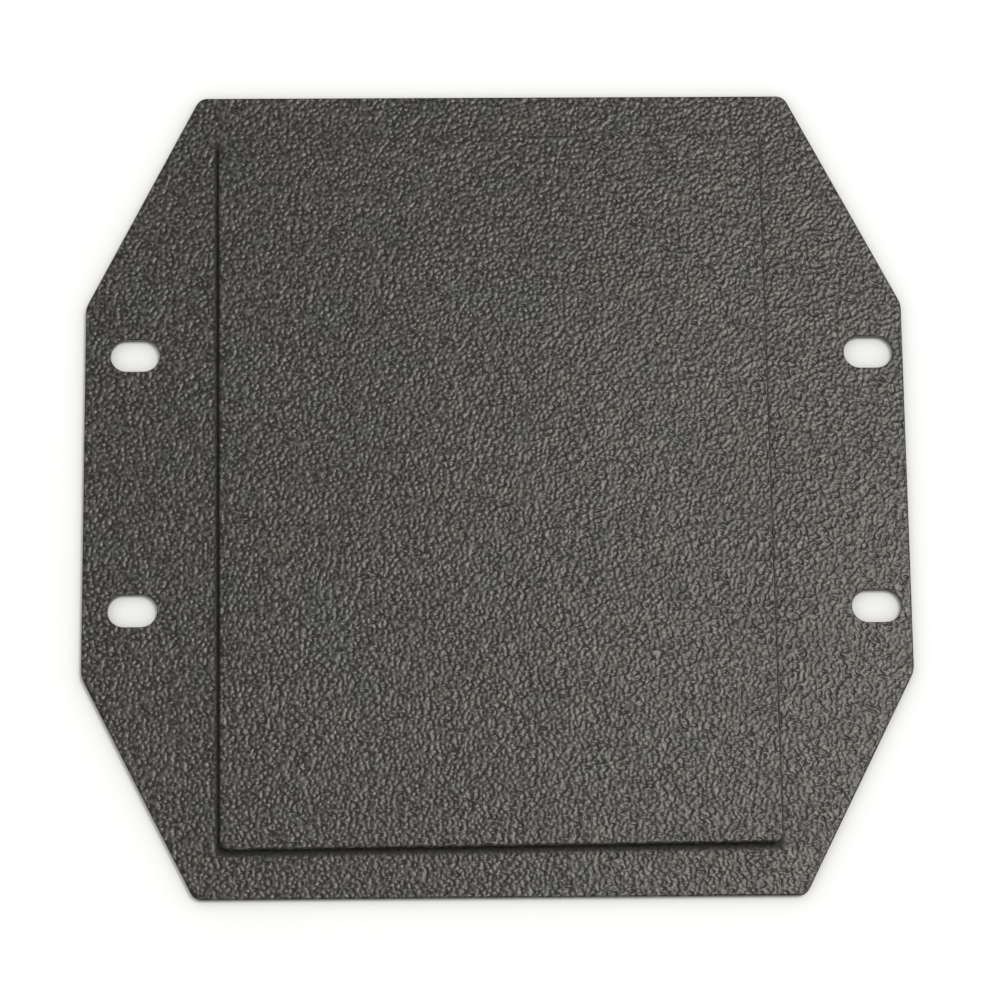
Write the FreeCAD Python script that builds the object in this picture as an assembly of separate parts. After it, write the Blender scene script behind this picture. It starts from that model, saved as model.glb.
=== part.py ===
import FreeCAD, Part
import math
import os

# Cover plate with a raised panel, sizes in millimetres
# The origin is in the middle of the back face: X runs across the plate, along its slots,
# Y runs up the plate, and Z points out of its front

# Flange plate: a flat sheet with four cut corners
plate_width = 200.0
plate_height = 200.0
plate_thickness = 2.0
corner_cut_width = 27.5
corner_cut_height = 54.0
end_corner_radius = 3.0
side_corner_radius = 6.0
plate_edge_round = 0.4

# Slots: one pair beside each side edge, set by their distance from the side edges
# and from the corners where the side edges end
slot_length = 12.0
slot_width = 8.0
left_slot_inset = 12.15
right_slot_inset = 8.45
upper_slot_inset = 12.25
lower_slot_inset = 16.05
slot_edge_round = 0.25

# Raised panel: a thicker rectangular plate on the front of the flange plate,
# set by the rim of flange that it leaves bare, and turned slightly out of square
bare_left = 33.0
bare_right = 33.4
bare_top = 11.2
bare_bottom = 12.0
panel_thickness = 3.0
panel_corner_radius = 2.0
panel_skew_degrees = 0.4
panel_edge_round = 0.4

# Sizes that follow from those above
half_width = plate_width / 2
half_height = plate_height / 2
end_edge_half = half_width - corner_cut_width
side_edge_half = half_height - corner_cut_height
slot_radius = slot_width / 2
panel_width = plate_width - bare_left - bare_right
panel_height = plate_height - bare_top - bare_bottom
panel_centre_x = (bare_left - bare_right) / 2
panel_centre_y = (bare_bottom - bare_top) / 2

# The most of a wall that the rounding of one of its edges may take
largest_round_share = 0.4
same_place = 0.001


def cut_corner_outline():
    """Corners of the flange plate's outline, from the lower right one and counter-clockwise."""
    right_side = [(half_width, -side_edge_half), (half_width, side_edge_half)]
    top_end = [(end_edge_half, half_height), (-end_edge_half, half_height)]
    left_side = [(-half_width, side_edge_half), (-half_width, -side_edge_half)]
    bottom_end = [(-end_edge_half, -half_height), (end_edge_half, -half_height)]
    return right_side + top_end + left_side + bottom_end


def prism(corners, thickness):
    """A flat plate with straight walls, from the corners of its outline."""
    points = [FreeCAD.Vector(x, y, 0) for x, y in corners]
    outline = Part.makePolygon(points + points[:1])
    return Part.Face(outline).extrude(FreeCAD.Vector(0, 0, thickness))


def upright_edges(solid):
    """The edges that run straight through the thickness."""
    def is_upright(edge):
        low, high = edge.Vertexes[0].Point, edge.Vertexes[-1].Point
        return math.hypot(high.x - low.x, high.y - low.y) < same_place
    return [edge for edge in solid.Edges if is_upright(edge)]


def level_edges(solid, level):
    """The edges that lie flat in the face at the given height."""
    def is_level(edge):
        return abs(edge.BoundBox.ZMin - level) < same_place and edge.BoundBox.ZLength < same_place
    return [edge for edge in solid.Edges if is_level(edge)]


def edges_near(edges, centre, reach):
    """Those of the edges whose middle is within reach of a centre, seen from the front."""
    def is_near(edge):
        middle = edge.BoundBox.Center
        return math.hypot(middle.x - centre[0], middle.y - centre[1]) < reach
    return [edge for edge in edges if is_near(edge)]


def allowed_round(radius, wall):
    return min(radius, largest_round_share * wall)


def slot_centres():
    """The four slot centres, two beside each side edge."""
    columns = (-half_width + left_slot_inset, half_width - right_slot_inset)
    rows = (side_edge_half - upper_slot_inset, -side_edge_half + lower_slot_inset)
    return [(x, y) for x in columns for y in rows]


def slot_cutter(centre):
    """A bar of the slot's own section: straight above and below, half round at both ends."""
    x, y = centre
    straight_half = slot_length / 2 - slot_radius
    left, right = x - straight_half, x + straight_half
    start = -plate_thickness

    def point(px, py):
        return FreeCAD.Vector(px, py, start)

    lower_side = Part.LineSegment(point(left, y - slot_radius), point(right, y - slot_radius))
    right_end = Part.Arc(point(right, y - slot_radius), point(right + slot_radius, y),
                         point(right, y + slot_radius))
    upper_side = Part.LineSegment(point(right, y + slot_radius), point(left, y + slot_radius))
    left_end = Part.Arc(point(left, y + slot_radius), point(left - slot_radius, y),
                        point(left, y - slot_radius))
    sides = (lower_side, right_end, upper_side, left_end)
    section = Part.Wire([side.toShape() for side in sides])
    return Part.Face(section).extrude(FreeCAD.Vector(0, 0, 3 * plate_thickness))


def round_outline_corners(blank):
    """Rounds the corners beside the side edges and those beside the end edges, each in its size."""
    side_corners = [e for e in upright_edges(blank) if abs(e.BoundBox.Center.x) > half_width - same_place]
    rounded = blank.makeFillet(side_corner_radius, side_corners)
    end_corners = [e for e in upright_edges(rounded) if abs(e.BoundBox.Center.y) > half_height - same_place]
    return rounded.makeFillet(end_corner_radius, end_corners)


def flange_plate():
    plate = round_outline_corners(prism(cut_corner_outline(), plate_thickness))
    outer_round = allowed_round(plate_edge_round, plate_thickness)
    plate = plate.makeFillet(outer_round, level_edges(plate, 0) + level_edges(plate, plate_thickness))
    for centre in slot_centres():
        plate = plate.cut(slot_cutter(centre))
    slot_rims = []
    for centre in slot_centres():
        for level in (0, plate_thickness):
            slot_rims += edges_near(level_edges(plate, level), centre, slot_length / 2)
    return plate.makeFillet(allowed_round(slot_edge_round, plate_thickness), slot_rims)


def raised_panel():
    half_w, half_h = panel_width / 2, panel_height / 2
    corners = [(half_w, -half_h), (half_w, half_h), (-half_w, half_h), (-half_w, -half_h)]
    panel = prism(corners, panel_thickness)
    panel = panel.makeFillet(panel_corner_radius, upright_edges(panel))
    front_round = allowed_round(panel_edge_round, panel_thickness)
    panel = panel.makeFillet(front_round, level_edges(panel, panel_thickness))
    panel.rotate(FreeCAD.Vector(0, 0, 0), FreeCAD.Vector(0, 0, 1), panel_skew_degrees)
    panel.translate(FreeCAD.Vector(panel_centre_x, panel_centre_y, plate_thickness))
    return panel


def save(shape, node):
    shape.exportStep("parts/" + node + ".step")
    print(node, "solids", len(shape.Solids), "valid", shape.isValid(), "volume", round(shape.Volume, 2))


os.makedirs("parts", exist_ok=True)
save(flange_plate(), "flange_plate")
save(raised_panel(), "raised_panel")
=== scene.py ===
import math

import bpy
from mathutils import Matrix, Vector


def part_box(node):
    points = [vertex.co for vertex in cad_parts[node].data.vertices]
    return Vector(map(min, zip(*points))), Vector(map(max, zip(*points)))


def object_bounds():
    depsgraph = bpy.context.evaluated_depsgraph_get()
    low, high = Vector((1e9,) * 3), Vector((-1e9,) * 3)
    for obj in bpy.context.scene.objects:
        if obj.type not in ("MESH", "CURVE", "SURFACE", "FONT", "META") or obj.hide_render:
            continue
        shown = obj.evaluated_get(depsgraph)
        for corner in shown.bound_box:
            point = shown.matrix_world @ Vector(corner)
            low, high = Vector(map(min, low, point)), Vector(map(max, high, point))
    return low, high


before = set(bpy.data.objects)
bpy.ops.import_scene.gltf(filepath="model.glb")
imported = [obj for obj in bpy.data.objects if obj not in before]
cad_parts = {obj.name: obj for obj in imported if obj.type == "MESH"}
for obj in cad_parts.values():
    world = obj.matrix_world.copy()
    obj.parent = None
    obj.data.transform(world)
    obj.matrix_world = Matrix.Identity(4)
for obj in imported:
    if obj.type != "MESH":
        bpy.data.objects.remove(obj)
cad_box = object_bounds()

# Camera, with its place and reach in metres, its turn in degrees and its lens in millimetres:
# it is high up, out beyond the plate's lower edge, and looks a little up the plate
CAMERA_PLACE = (-0.018852, -0.232909, 0.938061)
CAMERA_TURN = (13.80208, -1.05215, -0.63158)
CAMERA_LENS = 143.153
CAMERA_REACH = (0.05, 50)

# Studio light, in metres and watts: one soft lamp, high above the plate's upper right and aimed
# at its middle, under a sky that is white at the horizon and dimmer above
KEY_PLACE = (1.13, 0.52, 3.8)
KEY_AIM = (0, 0, 0)
KEY_SIZE = 1.0
KEY_POWER = 62.0
KEY_COLOUR = (1.0, 0.985, 0.96)
SKY_STRENGTH = 0.53
HORIZON_STRENGTH = 1.0
HORIZON_BAND = (0.12, 0.35)

# Floor, in metres: a faint glow makes it white to the camera, and fades to a painted shade in the
# creases beside the part and in its slots
FLOOR_HALF = 6.0
FLOOR_COLOUR = (0.86, 0.86, 0.855)
FLOOR_GAP = 0.0001
FLOOR_GLOW = 0.24
CREASE_REACH = 0.01
CREASE_SAMPLES = 8
CREASE_POWER = 2

# One millimetre in metres: the coat and the painted shadow below are set out in millimetres
MILLIMETRE = 0.001

# Relief of the powder coat: two layers of pebbles, each a grain pitch, a height and a turn in
# radians that sets it apart from the other, over the sheet's own slow waves
PEBBLE_LAYERS = (
    (0.97, 0.168, (0.6, 0.5, 0.0)),
    (0.89, 0.168, (1.7, 1.2, 0.9)),
)
WAVE_PITCH = 55.0
WAVE_HEIGHT = 0.6
BUMP_STRENGTH = 1.0

# Where each piece's coat starts in the noise, so that the two pieces differ
COAT_STARTS = {"flange_plate": (3.7, 7.4, 11.1), "raised_panel": (11.3, 22.6, 33.9)}

# Colour of the coat: slow patches of two tints, with painted shade that makes it black in the
# pits between the pebbles.
# The tints change over in a band of the noise, the painted pit shade in a band of the pebbles'
# height
COAT_COLOURS = ((0.071, 0.0605, 0.0530), (0.059, 0.0605, 0.0505))
TINT_PITCH = 16.0
TINT_DETAIL = 2.0
TINT_BAND = (0.35, 0.65)
PIT_BAND = (0.13, 0.23)
PIT_PAINTED_SHADE = 0.0

# Shine of the coat, a little uneven from place to place
COAT_SHINE = 0.55
SHINE_TINT = (1.0, 0.970, 0.915)
COAT_ROUGHNESS = (0.32, 0.36)
GLOSS_PITCH = 4.0
GLOSS_DETAIL = 1.0
GLOSS_BAND = (0.3, 0.7)

# Painted shadow on the flange at the foot of the raised panel: the coat's colour is darkened
# there, and the band is also made dull.
# It is shifted to the lower left, away from the lamp, and fades out below the flange's front so
# that the back has none
PANEL_SKEW_DEGREES = 0.4
PAINTED_SHADOW_SHIFT = (-0.45, -0.65, 0)
PAINTED_SHADOW_WIDTH = 1.4
PAINTED_SHADOW_LEVEL = 0.2
SHADOW_BAND_ROUGHNESS = 0.7
SHADOW_BAND_HEIGHTS = (0.5, 1.5)


def node(tree, kind, **settings):
    made = tree.nodes.new(kind)
    for name, value in settings.items():
        setattr(made, name, value)
    return made


def math_node(tree, operation, first, second):
    """A calculation with two values, each a constant or another node's output."""
    made = node(tree, "ShaderNodeMath", operation=operation)
    for socket, value in zip(made.inputs, (first, second)):
        if isinstance(value, (int, float)):
            socket.default_value = value
        else:
            tree.links.new(value, socket)
    return made.outputs[0]


def vector_node(tree, operation, first, second=None):
    """A calculation with a node's vector and, where it takes two, a constant vector."""
    made = node(tree, "ShaderNodeVectorMath", operation=operation)
    tree.links.new(first, made.inputs[0])
    if second is not None:
        made.inputs[1].default_value = second
    return made.outputs["Vector"]


def vector_parts(tree, vector):
    made = node(tree, "ShaderNodeSeparateXYZ")
    tree.links.new(vector, made.inputs[0])
    return made.outputs


def noise(tree, at, pitch, detail=0.0):
    made = node(tree, "ShaderNodeTexNoise")
    made.inputs["Scale"].default_value = 1 / pitch
    made.inputs["Detail"].default_value = detail
    tree.links.new(at, made.inputs["Vector"])
    return made.outputs["Fac"]


def ramp(tree, value, low, high, start, end):
    """Goes smoothly from start to end while the value goes from low to high."""
    made = node(tree, "ShaderNodeMapRange", interpolation_type="SMOOTHSTEP")
    tree.links.new(value, made.inputs["Value"])
    limits = {"From Min": low, "From Max": high, "To Min": start, "To Max": end}
    for name, limit in limits.items():
        made.inputs[name].default_value = limit
    return made.outputs["Result"]


def place_in_millimetres(tree, start=(0, 0, 0)):
    """The place on the part in millimetres, with the start added to it."""
    coordinates = node(tree, "ShaderNodeTexCoord")
    scaled = node(tree, "ShaderNodeMapping")
    scaled.inputs["Scale"].default_value = (1 / MILLIMETRE,) * 3
    scaled.inputs["Location"].default_value = start
    tree.links.new(coordinates.outputs["Object"], scaled.inputs["Vector"])
    return scaled.outputs["Vector"]


def panel_outline():
    """The raised panel's centre and half sizes in millimetres, square to its own sides.

    They come from the box round the skewed panel, which is width * cosine + height * sine wide
    and height * cosine + width * sine high.
    """
    low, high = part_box("raised_panel")
    centre = (low + high) / 2 / MILLIMETRE
    box_width = (high.x - low.x) / MILLIMETRE
    box_height = (high.y - low.y) / MILLIMETRE
    skew = math.radians(PANEL_SKEW_DEGREES)
    cosine, sine = math.cos(skew), math.sin(skew)
    divisor = cosine ** 2 - sine ** 2
    half_width = (box_width * cosine - box_height * sine) / divisor / 2
    half_height = (box_height * cosine - box_width * sine) / divisor / 2
    return (centre.x, centre.y, 0), (half_width, half_height, 0)


def painted_shadow_share(tree):
    """One at the foot of the raised panel's sides, where the shadow is painted, zero the painted
    shadow's width away and on the back.
    """
    centre, half_size = panel_outline()
    at = place_in_millimetres(tree)
    squared = node(tree, "ShaderNodeVectorRotate", rotation_type="Z_AXIS")
    squared.inputs["Angle"].default_value = -math.radians(PANEL_SKEW_DEGREES)
    painted_shadow_centre = Vector(centre) + Vector(PAINTED_SHADOW_SHIFT)
    tree.links.new(vector_node(tree, "SUBTRACT", at, painted_shadow_centre), squared.inputs["Vector"])
    from_centre = vector_node(tree, "ABSOLUTE", squared.outputs["Vector"])
    beyond = vector_parts(tree, vector_node(tree, "SUBTRACT", from_centre, half_size))
    distance = math_node(tree, "MAXIMUM", beyond["X"], beyond["Y"])
    near = ramp(tree, distance, 0, PAINTED_SHADOW_WIDTH, 1, 0)
    in_front = ramp(tree, vector_parts(tree, at)["Z"], *SHADOW_BAND_HEIGHTS, 0, 1)
    return math_node(tree, "MULTIPLY", near, in_front)


def pebble_height(tree, at):
    height = 0
    for pitch, peak, turn in PEBBLE_LAYERS:
        turned = node(tree, "ShaderNodeMapping")
        turned.inputs["Rotation"].default_value = turn
        tree.links.new(at, turned.inputs["Vector"])
        bumps = math_node(tree, "MULTIPLY", noise(tree, turned.outputs["Vector"], pitch), peak)
        height = math_node(tree, "ADD", height, bumps)
    return height


def coat_colour(tree, at, pebbles, painted_shadow):
    """Dark warm grey in slow patches of two tints, with painted shade that makes it black in the
    pits and a painted shadow that darkens it at the raised panel's foot.
    """
    tint = node(tree, "ShaderNodeMix", data_type="RGBA")
    patches = ramp(tree, noise(tree, at, TINT_PITCH, TINT_DETAIL), *TINT_BAND, 0, 1)
    tree.links.new(patches, tint.inputs["Factor"])
    tint.inputs["A"].default_value = (*COAT_COLOURS[0], 1)
    tint.inputs["B"].default_value = (*COAT_COLOURS[1], 1)
    # Painted shade: the colour goes black in the pits between the pebbles, where shade falls
    pit_painted_shade = ramp(tree, pebbles, *PIT_BAND, PIT_PAINTED_SHADE, 1)
    # Painted shadow: the colour darkens at the foot of the raised panel, most on its lower left,
    # away from the lamp
    painted_shadow_loss = math_node(tree, "MULTIPLY", painted_shadow, 1 - PAINTED_SHADOW_LEVEL)
    painted_shadow_factor = math_node(tree, "SUBTRACT", 1, painted_shadow_loss)
    shaded = node(tree, "ShaderNodeVectorMath", operation="SCALE")
    tree.links.new(tint.outputs["Result"], shaded.inputs[0])
    tree.links.new(math_node(tree, "MULTIPLY", pit_painted_shade, painted_shadow_factor), shaded.inputs["Scale"])
    return shaded.outputs["Vector"]


def coat_roughness(tree, at, painted_shadow):
    gloss = ramp(tree, noise(tree, at, GLOSS_PITCH, GLOSS_DETAIL), *GLOSS_BAND, *COAT_ROUGHNESS)
    dulling = math_node(tree, "MULTIPLY", painted_shadow, SHADOW_BAND_ROUGHNESS - COAT_ROUGHNESS[1])
    return math_node(tree, "ADD", gloss, dulling)


def empty_material(name):
    material = bpy.data.materials.new(name)
    material.use_nodes = True
    material.node_tree.nodes.clear()
    return material


def finish_material(material, shader):
    tree = material.node_tree
    output = node(tree, "ShaderNodeOutputMaterial")
    tree.links.new(shader, output.inputs["Surface"])
    return material


def powder_coat(name, start, has_painted_shadow):
    material = empty_material(name)
    tree = material.node_tree
    link = tree.links.new
    at = place_in_millimetres(tree, start)
    pebbles = pebble_height(tree, at)
    waves = math_node(tree, "MULTIPLY", noise(tree, at, WAVE_PITCH), WAVE_HEIGHT)
    # Band of painted shadow at the foot of the raised panel, which also makes the coat rougher
    # there
    painted_shadow = painted_shadow_share(tree) if has_painted_shadow else 0

    bump = node(tree, "ShaderNodeBump")
    bump.inputs["Strength"].default_value = BUMP_STRENGTH
    bump.inputs["Distance"].default_value = MILLIMETRE
    link(math_node(tree, "ADD", pebbles, waves), bump.inputs["Height"])

    surface = node(tree, "ShaderNodeBsdfPrincipled")
    surface.inputs["Specular IOR Level"].default_value = COAT_SHINE
    surface.inputs["Specular Tint"].default_value = (*SHINE_TINT, 1)
    link(coat_colour(tree, at, pebbles, painted_shadow), surface.inputs["Base Color"])
    link(coat_roughness(tree, at, painted_shadow), surface.inputs["Roughness"])
    link(bump.outputs["Normal"], surface.inputs["Normal"])
    return finish_material(material, surface.outputs["BSDF"])


def floor_material():
    """Pale paint with a glow that shows to the camera and in reflections, but lights nothing."""
    material = empty_material("pale_floor")
    tree = material.node_tree
    link = tree.links.new
    paint = node(tree, "ShaderNodeBsdfDiffuse")
    paint.inputs["Color"].default_value = (*FLOOR_COLOUR, 1)

    # Painted shade: ambient occlusion cuts the glow, so the floor darkens in the creases beside
    # the part and in its slots
    openness = node(tree, "ShaderNodeAmbientOcclusion", samples=CREASE_SAMPLES)
    openness.inputs["Distance"].default_value = CREASE_REACH
    share = math_node(tree, "POWER", openness.outputs["AO"], CREASE_POWER)
    glow = node(tree, "ShaderNodeEmission")
    link(math_node(tree, "MULTIPLY", share, FLOOR_GLOW), glow.inputs["Strength"])
    glowing_paint = node(tree, "ShaderNodeAddShader")
    link(paint.outputs[0], glowing_paint.inputs[0])
    link(glow.outputs[0], glowing_paint.inputs[1])

    ray = node(tree, "ShaderNodeLightPath").outputs
    is_seen = math_node(tree, "MAXIMUM", ray["Is Camera Ray"], ray["Is Glossy Ray"])
    is_seen = math_node(tree, "MAXIMUM", is_seen, ray["Is Transmission Ray"])
    choice = node(tree, "ShaderNodeMixShader")
    link(is_seen, choice.inputs["Fac"])
    link(paint.outputs[0], choice.inputs[1])
    link(glowing_paint.outputs[0], choice.inputs[2])
    return finish_material(material, choice.outputs[0])


def make_floor():
    level = cad_box[0].z - FLOOR_GAP
    signs = ((-1, -1), (1, -1), (1, 1), (-1, 1))
    corners = [(x * FLOOR_HALF, y * FLOOR_HALF, level) for x, y in signs]
    mesh = bpy.data.meshes.new("floor")
    mesh.from_pydata(corners, [], [(0, 1, 2, 3)])
    mesh.materials.append(floor_material())
    floor = bpy.data.objects.new("floor", mesh)
    bpy.context.collection.objects.link(floor)


def make_camera():
    data = bpy.data.cameras.new("camera")
    data.lens = CAMERA_LENS
    data.clip_start, data.clip_end = CAMERA_REACH
    camera = bpy.data.objects.new("camera", data)
    camera.location = CAMERA_PLACE
    camera.rotation_euler = [math.radians(turn) for turn in CAMERA_TURN]
    bpy.context.collection.objects.link(camera)
    bpy.context.scene.camera = camera


def make_key_light():
    data = bpy.data.lights.new("key_light", "AREA")
    data.shape = "SQUARE"
    data.size = KEY_SIZE
    data.energy = KEY_POWER
    data.color = KEY_COLOUR
    lamp = bpy.data.objects.new("key_light", data)
    lamp.location = KEY_PLACE
    direction = Vector(KEY_AIM) - Vector(KEY_PLACE)
    lamp.rotation_euler = direction.to_track_quat("-Z", "Y").to_euler()
    bpy.context.collection.objects.link(lamp)


def make_sky():
    world = bpy.data.worlds.new("studio")
    world.use_nodes = True
    tree = world.node_tree
    direction = node(tree, "ShaderNodeTexCoord").outputs["Generated"]
    rise = vector_parts(tree, direction)["Z"]
    strength = ramp(tree, rise, *HORIZON_BAND, HORIZON_STRENGTH, SKY_STRENGTH)
    background = tree.nodes["Background"]
    background.inputs["Color"].default_value = (1, 1, 1, 1)
    tree.links.new(strength, background.inputs["Strength"])
    bpy.context.scene.world = world


def dress(name, has_painted_shadow):
    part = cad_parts[name]
    part.data.materials.clear()
    part.data.materials.append(powder_coat(name + "_coat", COAT_STARTS[name], has_painted_shadow))


make_camera()
make_key_light()
make_sky()
make_floor()
dress("flange_plate", has_painted_shadow=True)
dress("raised_panel", has_painted_shadow=False)

bpy.context.scene.view_settings.view_transform = "Standard"
